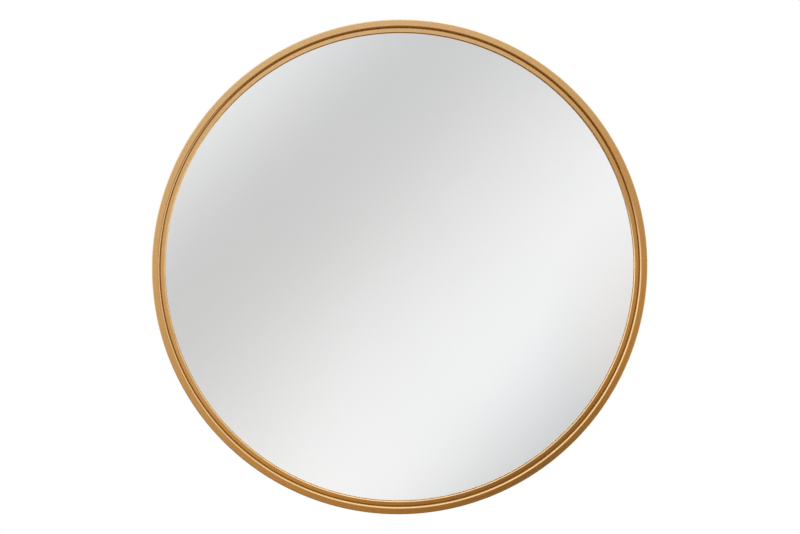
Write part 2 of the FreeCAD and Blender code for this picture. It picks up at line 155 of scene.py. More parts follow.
def grown(name, mesh, tree, values):
    """The plain mesh that a tree makes from a starting mesh, as a finished object at the origin."""
    thing = bpy.data.objects.new(name, mesh)
    bpy.context.scene.collection.objects.link(thing)
    growth = thing.modifiers.new(tree.name, "NODES")
    growth.node_group = tree
    for socket in tree.interface.items_tree:
        if socket.in_out == "INPUT" and socket.name in values:
            growth[socket.identifier] = values[socket.name]
    ready = thing.evaluated_get(bpy.context.evaluated_depsgraph_get())
    result = bpy.data.meshes.new_from_object(ready)
    thing.modifiers.remove(growth)
    thing.data = result
    face_outward(result)
    return thing


def rounded(corners, radii, steps=6):
    """A closed outline whose corners are rounded, each with a short straight lead on both sides."""
    lead = 0.00004
    points = []
    count = len(corners)
    for place, radius in enumerate(radii):
        here = Vector(corners[place])
        to_last = (Vector(corners[place - 1]) - here).normalized()
        to_next = (Vector(corners[(place + 1) % count]) - here).normalized()
        half = to_last.angle(to_next) / 2
        reach = radius / math.tan(half)
        middle = here + (to_last + to_next).normalized() * (radius / math.sin(half))
        first = here + to_last * reach
        last = here + to_next * reach
        points.append(first + to_last * lead)
        for step in range(steps + 1):
            spoke = (first - middle).slerp(last - middle, step / steps)
            points.append(middle + spoke.normalized() * radius)
        points.append(last + to_next * lead)
    return points


def hoop(name, corners, radii, finish):
    """A ring with a rounded section, given as radius and station, round the mirror's axis."""
    path_radius = corners[0][0]
    outline = [(point.x - path_radius, point.y, 0) for point in rounded(corners, radii)]
    edges = [(place, (place + 1) % len(outline)) for place in range(len(outline))]
    mesh = bpy.data.meshes.new(name)
    mesh.from_pydata(outline, edges, [])
    sizes = {"Path Radius": path_radius, "Steps": hoop_steps, "Finish": finish}
    return grown(name, mesh, ring_sweep, sizes)


def sum_node(tree, operation, *terms):
    """A math node on numbers or sockets, and its output."""
    node = tree.nodes.new("ShaderNodeMath")
    node.operation = operation
    for place, term in enumerate(terms):
        put(tree, term, node.inputs[place])
    return node.outputs[0]


def length_of(tree, one_leg, other_leg):
    """The length of a line from its legs along two axes."""
    squares = [sum_node(tree, "MULTIPLY", leg, leg) for leg in (one_leg, other_leg)]
    return sum_node(tree, "SQRT", sum_node(tree, "ADD", *squares))


def split_place(tree, place):
    """The three parts of a place: across, along the mirror's axis and up."""
    node = tree.nodes.new("ShaderNodeSeparateXYZ")
    link(tree, place, node.inputs[0])
    return node.outputs


def ramp_node(tree, source, stops, interpolation="LINEAR"):
    """A colour ramp on a value, with stops given as place and colour."""
    node = tree.nodes.new("ShaderNodeValToRGB")
    node.color_ramp.interpolation = interpolation
    marks = node.color_ramp.elements
    while len(marks) < len(stops):
        marks.new(1)
    for mark, (place, colour) in zip(marks, stops):
        mark.position = place
        mark.color = (*colour, 1)
    link(tree, source, node.inputs["Fac"])
    return node.outputs["Color"]


def spread(tree, source, low, high, to_low, to_high):
    """Maps a value from one range to another."""
    node = tree.nodes.new("ShaderNodeMapRange")
    link(tree, source, node.inputs["Value"])
    ends = {"From Min": low, "From Max": high, "To Min": to_low, "To Max": to_high}
    for socket, value in ends.items():
        put(tree, value, node.inputs[socket])
    return node.outputs["Result"]


def noise(tree, place, **settings):
    """A noise texture at a place, with its settings by name, and its value."""
    node = tree.nodes.new("ShaderNodeTexNoise")
    link(tree, place, node.inputs["Vector"])
    for socket, value in settings.items():
        put(tree, value, node.inputs[socket])
    return node.outputs["Fac"]


def over_noise(tree, source, low, high):
    """Maps the range that a noise mostly keeps to onto another."""
    return spread(tree, source, 0.3, 0.7, low, high)


def blend_tone(tree, factor, first, second):
    """Blends two tones, each a colour or a socket, and gives the result."""
    node = tree.nodes.new("ShaderNodeMix")
    node.data_type = "RGBA"
    for socket, value in (("Factor", factor), ("A", first), ("B", second)):
        put(tree, value, node.inputs[socket])
    return node.outputs["Result"]


def polishing_lines():
    """Fine lines that run round the mirror's axis, and the speckle of a satin finish."""
    takes = {"Vector": "Vector", "Line Length": "Float", "Line Pitch": "Float", "Speckle Size": "Float"}
    gives = {"Lines": "Float", "Speckle": "Float"}
    group, given, made = new_group("ShaderNodeTree", "polishing_lines", takes, gives)
    place = given.outputs["Vector"]
    across, station, up = split_place(group, place)
    slant = 1.7
    outward = sum_node(group, "MULTIPLY_ADD", station, slant, length_of(group, across, up))
    round_axis = group.nodes.new("ShaderNodeCombineXYZ")
    ways = ((across, "Line Length"), (outward, "Line Pitch"), (up, "Line Length"))
    for order, (way, size) in enumerate(ways):
        link(group, sum_node(group, "DIVIDE", way, given.outputs[size]), round_axis.inputs[order])
    lines = noise(group, round_axis.outputs[0], Scale=1, Detail=3)
    fineness = sum_node(group, "DIVIDE", 1, given.outputs["Speckle Size"])
    specks = noise(group, place, Scale=fineness, Detail=4, Roughness=0.65)
    link(group, lines, made.inputs["Lines"])
    link(group, specks, made.inputs["Speckle"])
    return group


def arris_wear():
    """A mask that is 1 on a round arris and fades away from it, broken up along its length."""
    takes = {"Vector": "Vector", "Arris Radius": "Float", "Arris Station": "Float", "Reach": "Float"}
    group, given, made = new_group("ShaderNodeTree", "arris_wear", takes, {"Wear": "Float"})
    place = given.outputs["Vector"]
    across, station, up = split_place(group, place)
    radius = length_of(group, across, up)
    out = sum_node(group, "SUBTRACT", radius, given.outputs["Arris Radius"])
    behind = sum_node(group, "SUBTRACT", station, given.outputs["Arris Station"])
    near = spread(group, length_of(group, out, behind), 0, given.outputs["Reach"], 1, 0)
    patches = noise(group, place, Scale=60, Detail=5)
    broken = spread(group, patches, 0.4, 0.7, 0, 1)
    link(group, sum_node(group, "MULTIPLY", near, broken), made.inputs["Wear"])
    return group


def seam_shade():
    """A mask for painted shade: 1 along the front seam of rim and ledge, and fading away to both sides.
    """
    takes = {"Vector": "Vector", "Seam Radius": "Float", "Seam Station": "Float", "Reach": "Float"}
    group, given, made = new_group("ShaderNodeTree", "seam_shade", takes, {"Shade": "Float"})
    across, station, up = split_place(group, given.outputs["Vector"])
    radius = length_of(group, across, up)
    out = sum_node(group, "SUBTRACT", radius, given.outputs["Seam Radius"])
    behind = sum_node(group, "SUBTRACT", station, given.outputs["Seam Station"])
    near = spread(group, sum_node(group, "ABSOLUTE", out), 0, given.outputs["Reach"], 1, 0)
    ahead = spread(group, behind, 0, given.outputs["Reach"], 1, 0)
    link(group, sum_node(group, "MULTIPLY", near, ahead), made.inputs["Shade"])
    return group


def place_group(tree, group, place, values):
    """Puts a shader group in a material, at a place and with its own values."""
    node = tree.nodes.new("ShaderNodeGroup")
    node.node_tree = group
    link(tree, place, node.inputs["Vector"])
    for socket, value in values.items():
        node.inputs[socket].default_value = value
    return node


def new_finish(name):
    """A new material, its node tree and its shader."""
    finish = bpy.data.materials.new(name)
    finish.use_nodes = True
    return finish, finish.node_tree, finish.node_tree.nodes["Principled BSDF"]


def object_place(tree):
    """The place on a piece that a pattern is laid by."""
    return tree.nodes.new("ShaderNodeTexCoord").outputs["Object"]


def bump(tree, height, depth, shader):
    """Raises a surface by a height map, depth metres at most."""
    node = tree.nodes.new("ShaderNodeBump")
    node.inputs["Distance"].default_value = depth
    link(tree, height, node.inputs["Height"])
    link(tree, node.outputs["Normal"], shader.inputs["Normal"])


def satin_gold(name, arris_radius, arris_station):
    """Satin gold anodising, rubbed paler along one arris, with painted shade darkening it brown along
    the seam of rim and ledge.
    """
    finish, tree, shader = new_finish(name)
    place = object_place(tree)
    line_sizes = {"Line Length": line_length, "Line Pitch": line_pitch, "Speckle Size": satin_speck}
    grain = place_group(tree, lines_group, place, line_sizes)
    wear_sizes = {"Arris Radius": arris_radius, "Arris Station": arris_station, "Reach": rubbed_reach}
    wear = place_group(tree, wear_group, place, wear_sizes)
    seam_sizes = {"Seam Radius": toe_inner, "Seam Station": ledge_face, "Reach": seam_reach}
    seam = place_group(tree, seam_group, place, seam_sizes)
    specks = sum_node(tree, "MULTIPLY", grain.outputs["Speckle"], 1 - line_share)
    mottle = sum_node(tree, "MULTIPLY_ADD", grain.outputs["Lines"], line_share, specks)
    tone = ramp_node(tree, mottle, [(0.32, gold_deep), (0.5, gold_mean), (0.68, gold_pale)])
    rubbed = sum_node(tree, "MULTIPLY", wear.outputs["Wear"], rubbed_share)
    tone = blend_tone(tree, rubbed, tone, gold_worn)
    # Painted shade: the gold turns brown along the seam of rim and ledge, in place of the shadow that
    # falls in that crease.
    painted_shade_share = sum_node(tree, "MULTIPLY", seam.outputs["Shade"], seam_strength)
    tone = blend_tone(tree, sum_node(tree, "MINIMUM", painted_shade_share, 1), tone, painted_shade_brown)
    link(tree, tone, shader.inputs["Base Color"])
    roughness = over_noise(tree, grain.outputs["Lines"], *satin_roughness)
    link(tree, roughness, shader.inputs["Roughness"])
    shader.inputs["Metallic"].default_value = 1
    bump(tree, grain.outputs["Lines"], line_depth, shader)
    return finish


ring_sweep = hoop_tree()
lines_group = polishing_lines()
wear_group = arris_wear()
seam_group = seam_shade()
rim_gold = satin_gold("rim_satin_gold", rim_radius, rim_front)
rim_corners = [(toe_inner, rim_front), (rim_radius, rim_front), (rim_radius, rim_back)]
rim_corners += [(rim_inner, rim_back), (rim_inner, toe_back), (toe_inner, toe_back)]
rim_rounds = [rim_shoulder, rim_front_round, rim_back_round, rim_back_round]
rim_rounds += [rim_crease, rim_crease / 4]
rim = hoop("rim_hoop", rim_corners, rim_rounds, rim_gold)
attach(rim, "mirror")
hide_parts("outer_rim")

# Inner ledge: a flat aluminium ring, turned to size and welded inside the rim from behind, with its
# inner edge bevelled down to the pane and rounded behind. It has the rim's satin gold.
ledge_low, ledge_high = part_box("inner_ledge")
ledge_outer = ledge_high.x
ledge_front = ledge_low.y
ledge_back = ledge_high.y
ledge_width = 0.00865
lip_width = 0.0013
lip_land = 0.0016
ledge_round = 0.0003
lip_ease = 0.0004
lip_nose = 0.0011
weld_round = 0.0001
ledge_inner = ledge_outer - ledge_width
lip_front = ledge_inner + lip_width
ledge_gold = satin_gold("ledge_satin_gold", lip_front, ledge_front)
ledge_corners = [(lip_front, ledge_front), (ledge_outer, ledge_front), (ledge_outer, ledge_back)]
ledge_corners += [(ledge_inner, ledge_back), (ledge_inner, ledge_back - lip_land)]
ledge_rounds = [ledge_round, weld_round, weld_round, lip_nose, lip_ease]
ledge = hoop("ledge_hoop", ledge_corners, ledge_rounds, ledge_gold)
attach(ledge, "mirror")
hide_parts("inner_ledge")

# Glazing tape: a ring of black closed-cell foam tape, stuck to the back of the ledge. The pane presses
# on it, so its edges bulge.
tape_low, tape_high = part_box("glazing_tape")
tape_width = 0.0043
tape_bulge = 0.0002
tape_outer = tape_high.x
tape_inner = tape_outer - tape_width
tape_black = (0.010, 0.010, 0.011)
tape_mean = (0.024, 0.024, 0.026)
tape_grey = (0.045, 0.045, 0.048)
coarse_share = 0.4


def speckle():
    """Fine and coarse specks, with their sizes in metres."""
    takes = {"Vector": "Vector", "Fine Size": "Float", "Coarse Size": "Float"}
    gives = {"Fine": "Float", "Coarse": "Float"}
    group, given, made = new_group("ShaderNodeTree", "speckle", takes, gives)
    for kind in gives:
        fineness = sum_node(group, "DIVIDE", 1, given.outputs[kind + " Size"])
        specks = noise(group, given.outputs["Vector"], Scale=fineness, Detail=4)
        link(group, specks, made.inputs[kind])
    return group


def specked(name, fine_size, coarse_size, tones, roughness, depth):
    """A finish whose colour, gloss and surface follow its specks."""
    finish, tree, shader = new_finish(name)
    sizes = {"Fine Size": fine_size, "Coarse Size": coarse_size}
    specks = place_group(tree, speckle_group, object_place(tree), sizes)
    fine = sum_node(tree, "MULTIPLY", specks.outputs["Fine"], 1 - coarse_share)
    mottle = sum_node(tree, "MULTIPLY_ADD", specks.outputs["Coarse"], coarse_share, fine)
    link(tree, ramp_node(tree, mottle, tones), shader.inputs["Base Color"])
    gloss = over_noise(tree, specks.outputs["Coarse"], *roughness)
    link(tree, gloss, shader.inputs["Roughness"])
    bump(tree, specks.outputs["Fine"], depth, shader)
    return finish


speckle_group = speckle()
tape_tones = [(0.3, tape_black), (0.5, tape_mean), (0.7, tape_grey)]
tape_foam = specked("tape_foam", fine_size=0.0003, coarse_size=0.004, tones=tape_tones,
                    roughness=(0.8, 0.95), depth=0.00006)
tape_corners = [(tape_inner, tape_low.y), (tape_outer, tape_low.y)]
tape_corners += [(tape_outer, tape_high.y), (tape_inner, tape_high.y)]
tape = hoop("tape_ring", tape_corners, [tape_bulge] * 4, tape_foam)
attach(tape, "mirror")
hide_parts("glazing_tape")

# Mirror pane: a disc of 3 mm float glass, cut round and ground along both arrises. It lies against the
# tape behind the ledge.
pane_low, pane_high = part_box("mirror_glass")
pane_radius = pane_high.x
pane_arris = 0.0005
pane_lift = 0.00002
disc_steps = 360


def turned(name, section, steps, finishes):
    """A solid turned round Y from a section that starts and ends on it, flat where that is level."""
    level = 1e-7
    shape = bmesh.new()
    hoops = []
    for radius, station in section:
        count = steps if radius > 0 else 1
        angles = [math.tau * step / steps for step in range(count)]
        spots = [(radius * math.sin(turn), station, radius * math.cos(turn)) for turn in angles]
        hoops.append([shape.verts.new(spot) for spot in spots])
    for order, (here, there) in enumerate(zip(hoops, hoops[1:])):
        for step in range(steps):
            corners = [here[step % len(here)], here[(step + 1) % len(here)]]
            corners += [there[(step + 1) % len(there)], there[step % len(there)]]
            face = shape.faces.new(list(dict.fromkeys(corners)))
            face.smooth = abs(section[order][1] - section[order + 1][1]) > level
            face.material_index = min(order, len(finishes) - 1)
    bmesh.ops.recalc_face_normals(shape, faces=shape.faces)
    mesh = bpy.data.meshes.new(name)
    shape.to_mesh(mesh)
    shape.free()
    for finish in finishes:
        mesh.materials.append(finish)
    thing = bpy.data.objects.new(name, mesh)
    bpy.context.scene.collection.objects.link(thing)
    return thing


def disc_section(radius, front, back, arris, steps=1):
    """The section of a disc whose two arrises are bevelled, or rounded in more steps than one."""
    turns = [math.pi / 2 * step / steps for step in range(steps + 1)]
    middle = radius - arris
    front_edge = [(middle + arris * math.sin(turn), front + arris * (1 - math.cos(turn)))
                  for turn in turns]
    back_edge = [(middle + arris * math.cos(turn), back - arris * (1 - math.sin(turn)))
                 for turn in turns]
    return [(0, front)] + front_edge + back_edge + [(0, back)]


def clear_glass():
    """Polished float glass, with the faintest change of tint over its face."""
    finish, tree, shader = new_finish("clear_glass")
    haze = noise(tree, object_place(tree), Scale=5)
    tints = [(0.3, (0.985, 0.995, 0.99)), (0.7, (0.995, 1.0, 0.997))]
    link(tree, ramp_node(tree, haze, tints), shader.inputs["Base Color"])
    shader.inputs["Roughness"].default_value = 0
    shader.inputs["IOR"].default_value = 1.5
    shader.inputs["Transmission Weight"].default_value = 1
    return finish


def ground_glass():
    """The pane's ground edge: frosted and green."""
    finish, tree, shader = new_finish("ground_glass_edge")
    grit = noise(tree, object_place(tree), Scale=3000)
    tints = [(0.35, (0.42, 0.56, 0.5)), (0.65, (0.6, 0.74, 0.67))]
    link(tree, ramp_node(tree, grit, tints), shader.inputs["Base Color"])
    link(tree, over_noise(tree, grit, 0.4, 0.65), shader.inputs["Roughness"])
    return finish


pane_glass = clear_glass()
pane_edge = ground_glass()
pane_finishes = [pane_glass, pane_edge, pane_edge, pane_edge, pane_glass]
pane_section = disc_section(pane_radius, pane_low.y, pane_high.y - pane_lift, pane_arris)
pane = turned("mirror_pane", pane_section, disc_steps, pane_finishes)
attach(pane, "mirror")
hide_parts("mirror_glass")

# Silvering: the metal film laid on the back of the pane, sealed with paint. It stops short of the
# ground arris.
coat_low, coat_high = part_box("silver_coat")
coat_radius = coat_high.x


def silvering():
    """Bright silver with the faintest unevenness of a sprayed film."""
    finish, tree, shader = new_finish("silvering")
    cloud = noise(tree, object_place(tree), Scale=3, Detail=1)
    tones = [(0.3, (0.955, 0.955, 0.955)), (0.7, (0.965, 0.966, 0.966))]
    link(tree, ramp_node(tree, cloud, tones), shader.inputs["Base Color"])
    shader.inputs["Metallic"].default_value = 1
    shader.inputs["Roughness"].default_value = 0
    return finish


coat_section = [(0, coat_low.y), (coat_radius, coat_low.y)]
coat_section += [(coat_radius, coat_high.y), (0, coat_high.y)]
coat = turned("silver_layer", coat_section, disc_steps, [silvering()])
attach(coat, "mirror")
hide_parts("silver_coat")

# Safety film: a woven plastic film stuck over the silvering's paint, so that a broken pane holds
# together. It is a plain disc between the silvering and the foam.
film_tones = [(0.3, (0.45, 0.48, 0.50)), (0.5, (0.55, 0.58, 0.60)), (0.7, (0.63, 0.66, 0.68))]


def dress(node, finish):
    """Gives a CAD node's own surface a finish."""
    for place in frame["nodes"][node].material_slots:
        place.material = finish


woven_film = specked("woven_film", fine_size=0.0008, coarse_size=0.02, tones=film_tones,
                     roughness=(0.45, 0.6), depth=0.00003)
dress("safety_film", woven_film)

# Foam sheet: a disc of soft packing foam, cut with a knife and pressed between the film and the board,
# so its edge rounds over.
foam_low, foam_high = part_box("foam_sheet")
foam_tones = [(0.3, (0.78, 0.78, 0.76)), (0.5, (0.87, 0.87, 0.85)), (0.7, (0.93, 0.93, 0.91))]
foam_edge = 0.0012
foam_edge_steps = 4
foam_white = specked("packing_foam", fine_size=0.0012, coarse_size=0.009, tones=foam_tones,
                     roughness=(0.75, 0.9), depth=0.00025)
foam_section = disc_section(foam_high.x, foam_low.y, foam_high.y, foam_edge, foam_edge_steps)
foam = turned("foam_pad", foam_section, disc_steps, [foam_white])
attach(foam, "mirror")
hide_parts("foam_sheet")

# Backing board: a disc of 6 mm medium-density fibreboard, cut on a router and sanded. It drops in from
# behind, level with the rim's back.
board_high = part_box("backing_board")[1]
board_dark = (0.30, 0.195, 0.115)
board_mean = (0.42, 0.29, 0.18)
board_pale = (0.52, 0.385, 0.26)
board_burnt = (0.20, 0.125, 0.07)
board_burn_reach = 0.005
fibre_share = 0.55
speck_share = 0.3
cloud_share = 0.15
fibre_depth = 0.00008


def fibreboard():
    """Pressed wood fibre: short fibres over fine specks, burnt darker at the cut edge."""
    finish, tree, shader = new_finish("fibreboard")
    place = object_place(tree)
    speck_sizes = {"Fine Size": 0.0006, "Coarse Size": 0.007}
    specks = place_group(tree, speckle_group, place, speck_sizes)
    burn_sizes = {"Arris Radius": board_high.x, "Arris Station": board_high.y}
    burn = place_group(tree, wear_group, place, {**burn_sizes, "Reach": board_burn_reach})
    fibres = noise(tree, place, Scale=420, Detail=3, Distortion=1.2)
    fine = sum_node(tree, "MULTIPLY", specks.outputs["Fine"], speck_share)
    fleck = sum_node(tree, "MULTIPLY_ADD", fibres, fibre_share, fine)
    mottle = sum_node(tree, "MULTIPLY_ADD", specks.outputs["Coarse"], cloud_share, fleck)
    tone = ramp_node(tree, mottle, [(0.32, board_dark), (0.5, board_mean), (0.66, board_pale)])
    tone = blend_tone(tree, burn.outputs["Wear"], tone, board_burnt)
    link(tree, tone, shader.inputs["Base Color"])
    link(tree, over_noise(tree, fibres, 0.72, 0.9), shader.inputs["Roughness"])
    bump(tree, fleck, fibre_depth, shader)
    return finish


dress("backing_board", fibreboard())

# Turn buttons: eight strips stamped from zinc-plated steel, each with a round eye and a turned-up tip.
# The barrel that they are plated in eases their edges.
button_soft = 0.0002
zinc_tones = [(0.34, (0.56, 0.575, 0.59)), (0.5, (0.68, 0.69, 0.70)), (0.66, (0.77, 0.77, 0.76))]


def softened(name, node, reach):
    """A CAD node's shape with its sharp edges eased, in the same place."""
    merge_reach = 1e-6
    flat = math.radians(1)
    sharp = math.radians(40)
    shape = bmesh.new()
    shape.from_mesh(frame["nodes"][node].data)
    bmesh.ops.remove_doubles(shape, verts=shape.verts, dist=merge_reach)
    bmesh.ops.dissolve_limit(shape, angle_limit=flat, verts=shape.verts, edges=shape.edges)
    hard = [edge for edge in shape.edges if edge.is_manifold and edge.calc_face_angle() > sharp]
    bmesh.ops.bevel(shape, geom=hard, offset=reach, segments=3, profile=0.5, affect="EDGES",
                    clamp_overlap=True)
    bmesh.ops.triangulate(shape, faces=shape.faces)
    mesh = bpy.data.meshes.new(name)
    shape.to_mesh(mesh)
    shape.free()
    mesh.shade_smooth()
    thing = bpy.data.objects.new(name, mesh)
    bpy.context.scene.collection.objects.link(thing)
    evened = thing.modifiers.new("evened", "WEIGHTED_NORMAL")
    evened.weight = 100
    ready = thing.evaluated_get(bpy.context.evaluated_depsgraph_get())
    result = bpy.data.meshes.new_from_object(ready)
    thing.modifiers.remove(evened)
    thing.data = result
    result.materials.clear()
    result.materials.append(zinc)
    return thing


zinc = specked("zinc_plate", fine_size=0.0009, coarse_size=0.006, tones=zinc_tones,
               roughness=(0.26, 0.42), depth=0.000012)
zinc.node_tree.nodes["Principled BSDF"].inputs["Metallic"].default_value = 1
button_pivots = [joint for joint in frame["joints"] if joint["child"].startswith("turn_button")]
for pivot in button_pivots:
    strip_name = pivot["child"].replace("turn_button", "button_strip")
    button = softened(strip_name, pivot["child"], button_soft)
    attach(button, pivot["child"])
    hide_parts(pivot["child"])

# Button screws: eight pan-head screws of zinc-plated steel with a cross recess, one through each
# button's eye into the rim's rear wall. They stop short of pinching the buttons.
pivot_place = Vector(button_pivots[0]["pos_m"])
pivot_circle = math.hypot(pivot_place.x, pivot_place.z)
button_seat = 0.0014
button_head = 0.0034
button_head_height = 0.0022
button_screw_length = 0.008
screw_shank = 0.00175
screw_point = 0.002
screw_steps = 32
head_rim_share = 0.4
dome_steps = 6
cross_half = 0.00045
cross_reach = 0.0019
cross_depth = 0.0013
cross_clear = 0.001
cross_taper = 0.45


def cross_cutter():
    """The tapered cross that a punch leaves in a screw's head, with its top at the origin."""
    shape = bmesh.new()
    levels = [(cross_clear, 1), (0, 1), (-cross_depth, cross_taper)]
    for along in (Vector((1, 0, 0)), Vector((0, 0, 1))):
        beside = Vector((along.z, 0, along.x))
        corners = []
        for station, share in levels:
            for end in (-1, 1):
                for side in (-1, 1):
                    flank = beside * side * cross_half * share
                    tip = along * end * cross_reach * share
                    corners.append(shape.verts.new(tip + flank + Vector((0, station, 0))))
        hull = bmesh.ops.convex_hull(shape, input=corners)
        bmesh.ops.delete(shape, geom=hull["geom_interior"], context="VERTS")
    mesh = bpy.data.meshes.new("cross_cutter")
    shape.to_mesh(mesh)
    shape.free()
    return bpy.data.objects.new("cross_cutter", mesh)


def pan_screw(name, head_radius, head_height, shank_length):
    """A pan-head screw along Y, with its head's underside at the origin and a cross recess on top."""
    rim_height = head_height * head_rim_share
    dome_height = head_height - rim_height
    section = [(0, -shank_length), (screw_shank, screw_point - shank_length), (screw_shank, 0)]
    section.append((head_radius, 0))
    for step in range(dome_steps):
        turn = math.pi / 2 * step / dome_steps
        section.append((head_radius * math.cos(turn), rim_height + dome_height * math.sin(turn)))
    blank = turned(name, section + [(0, head_height)], screw_steps, [zinc])
    punch = cross_cutter()
    bpy.context.scene.collection.objects.link(punch)
    punch.location.y = head_height
    bpy.context.view_layer.update()
    recess = blank.modifiers.new("recess", "BOOLEAN")
    recess.object = punch
    recess.solver = "EXACT"
    recess.use_self = True
    ready = blank.evaluated_get(bpy.context.evaluated_depsgraph_get())
    mesh = bpy.data.meshes.new_from_object(ready)
    bpy.data.objects.remove(blank)
    bpy.data.objects.remove(punch)
    return mesh


def spaced_tree(name, pattern, pattern_sizes):
    """Sets the starting mesh at every point of a pattern in XZ, each turned by chance about Y."""
    takes = {"Piece": "Geometry", **pattern_sizes, "Station": "Float", "Height": "Float"}
    takes.update({"Quarter Turn": "Float", "Loose Turn": "Float", "Seed": "Int", "Finish": "Material"})
    tree, given, made = new_group("GeometryNodeTree", name, takes, {"Pieces": "Geometry"})
    spots = tree.nodes.new(pattern)
    for word in pattern_sizes:
        link(tree, given.outputs[word], spots.inputs[word])
    lean = tree.nodes.new("ShaderNodeCombineXYZ")
    lean.inputs["X"].default_value = math.pi / 2
    link(tree, given.outputs["Quarter Turn"], lean.inputs["Y"])
    shift = tree.nodes.new("ShaderNodeCombineXYZ")
    link(tree, given.outputs["Station"], shift.inputs["Y"])
    link(tree, given.outputs["Height"], shift.inputs["Z"])
    upright = tree.nodes.new("GeometryNodeTransform")
    link(tree, spots.outputs["Mesh"], upright.inputs["Geometry"])
    link(tree, lean.outputs[0], upright.inputs["Rotation"])
    link(tree, shift.outputs[0], upright.inputs["Translation"])
    chance = tree.nodes.new("FunctionNodeRandomValue")
    chance.data_type = "FLOAT"
    floats = {socket.name: socket for socket in chance.inputs if socket.type == "VALUE"}
    drawn = next(socket for socket in chance.outputs if socket.type == "VALUE")
    floats["Min"].default_value = 0
    link(tree, given.outputs["Loose Turn"], floats["Max"])
    link(tree, given.outputs["Seed"], chance.inputs["Seed"])
    turn = tree.nodes.new("ShaderNodeCombineXYZ")
    link(tree, drawn, turn.inputs["Y"])
    copies = tree.nodes.new("GeometryNodeInstanceOnPoints")
    link(tree, upright.outputs["Geometry"], copies.inputs["Points"])
    link(tree, given.outputs["Piece"], copies.inputs["Instance"])
    link(tree, turn.outputs[0], copies.inputs["Rotation"])
    finish_tree(tree, copies.outputs["Instances"], given, made)
    return tree


circle_sizes = {"Vertices": "Int", "Radius": "Float"}
round_pattern = spaced_tree("spaced_round", "GeometryNodeMeshCircle", circle_sizes)
button_screw = pan_screw("button_screw", button_head, button_head_height, button_screw_length)
screw_sizes = {"Vertices": len(button_pivots), "Radius": pivot_circle}
screw_sizes.update({"Station": pivot_place.y + button_seat, "Loose Turn": math.pi, "Seed": 3})
screw_sizes.update({"Quarter Turn": math.pi / len(button_pivots), "Finish": zinc})
button_screws = grown("button_screws", button_screw, round_pattern, screw_sizes)
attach(button_screws, "mirror")
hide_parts("turn_button_screws")

# Hanger straps: two strips of zinc-plated steel, stamped with two screw holes and curled at the top
# into a knuckle round the ring's leg.
strap_soft = 0.00018
sides = ("left", "right")
for side in sides:
    strap = softened("strap_plate_" + side, "hanger_strap_" + side, strap_soft)
    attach(strap, "mirror")
    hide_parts("hanger_strap_" + side)

# Hanger rings: 2.5 mm steel wire bent to a D and plated with zinc, with its two ends meeting inside
# the knuckle.
wire_radius = 0.00125
wire_steps = 16
ring_leg = 0.0075
ring_corner = 0.0035
ring_side = 0.005
ring_butt = 0.0002
corner_steps = 10
bow_steps = 36
ring_half = ring_leg + ring_corner
ring_drop = ring_corner + ring_side


def bent_wire_tree():
    """Sweeps a round wire along the starting mesh's line of edges, with closed ends."""
    takes = {"Line": "Geometry", "Wire Radius": "Float", "Steps": "Int", "Finish": "Material"}
    tree, given, made = new_group("GeometryNodeTree", "bent_wire", takes, {"Wire": "Geometry"})
    path = tree.nodes.new("GeometryNodeMeshToCurve")
    section = tree.nodes.new("GeometryNodeCurvePrimitiveCircle")
    swept = tree.nodes.new("GeometryNodeCurveToMesh")
    swept.inputs["Fill Caps"].default_value = True
    smooth = tree.nodes.new("GeometryNodeSetShadeSmooth")
    link(tree, given.outputs["Line"], path.inputs["Mesh"])
    link(tree, given.outputs["Wire Radius"], section.inputs["Radius"])
    link(tree, given.outputs["Steps"], section.inputs["Resolution"])
    link(tree, path.outputs["Curve"], swept.inputs["Curve"])
    link(tree, section.outputs["Curve"], swept.inputs["Profile Curve"])
    link(tree, swept.outputs["Mesh"], smooth.inputs["Geometry"])
    finish_tree(tree, smooth.outputs["Geometry"], given, made)
    return tree


def bend(across, up, radius, first, last, steps):
    """Points on an arc, with its angles in degrees."""
    turns = [math.radians(first + (last - first) * step / steps) for step in range(steps + 1)]
    return [(across + radius * math.cos(turn), up + radius * math.sin(turn)) for turn in turns]


wire_sweep = bent_wire_tree()
wire_sizes = {"Wire Radius": wire_radius, "Steps": wire_steps, "Finish": zinc}
ring_line = [(ring_butt, 0)]
ring_line += bend(ring_leg, -ring_corner, ring_corner, 90, 0, corner_steps)
ring_line += bend(0, -ring_drop, ring_half, 0, -180, bow_steps)
ring_line += bend(-ring_leg, -ring_corner, ring_corner, 180, 90, corner_steps)
ring_line += [(-ring_butt, 0)]
for side in sides:
    body = "hanger_ring_" + side
    swing = next(Vector(joint["pos_m"]) for joint in frame["joints"] if joint["child"] == body)
    spots = [(swing.x + across, swing.y, swing.z + up) for across, up in ring_line]
    wire = bpy.data.meshes.new("wire_ring_" + side)
    wire.from_pydata(spots, [(step, step + 1) for step in range(len(spots) - 1)], [])
    ring = grown("wire_ring_" + side, wire, wire_sweep, wire_sizes)
    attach(ring, body)
    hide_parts(body)

# Strap screws: two short pan-head screws of zinc-plated steel through each strap. They are driven into
# the board, short of its far face.
fixing_low, fixing_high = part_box("hanger_screws")
fixing_head = 0.0033
fixing_head_height = 0.002
fixing_length = 0.0056
fixing_pitch = 0.014
fixing_height = (fixing_low.z + fixing_high.z) / 2
fixing_across = fixing_high.x - fixing_head
row_sizes = {"Size X": "Float", "Size Y": "Float", "Vertices X": "Int", "Vertices Y": "Int"}
row_pattern = spaced_tree("paired_rows", "GeometryNodeMeshGrid", row_sizes)
strap_screw = pan_screw("strap_screw", fixing_head, fixing_head_height, fixing_length)
fixing_sizes = {"Size X": 2 * fixing_across, "Vertices X": 2, "Size Y": fixing_pitch, "Vertices Y": 2}
fixing_sizes.update({"Station": fixing_low.y + fixing_length, "Height": fixing_height})
fixing_sizes.update({"Loose Turn": math.pi, "Seed": 5, "Finish": zinc})
strap_screws = grown("strap_screws", strap_screw, row_pattern, fixing_sizes)
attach(strap_screws, "mirror")
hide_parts("hanger_screws")

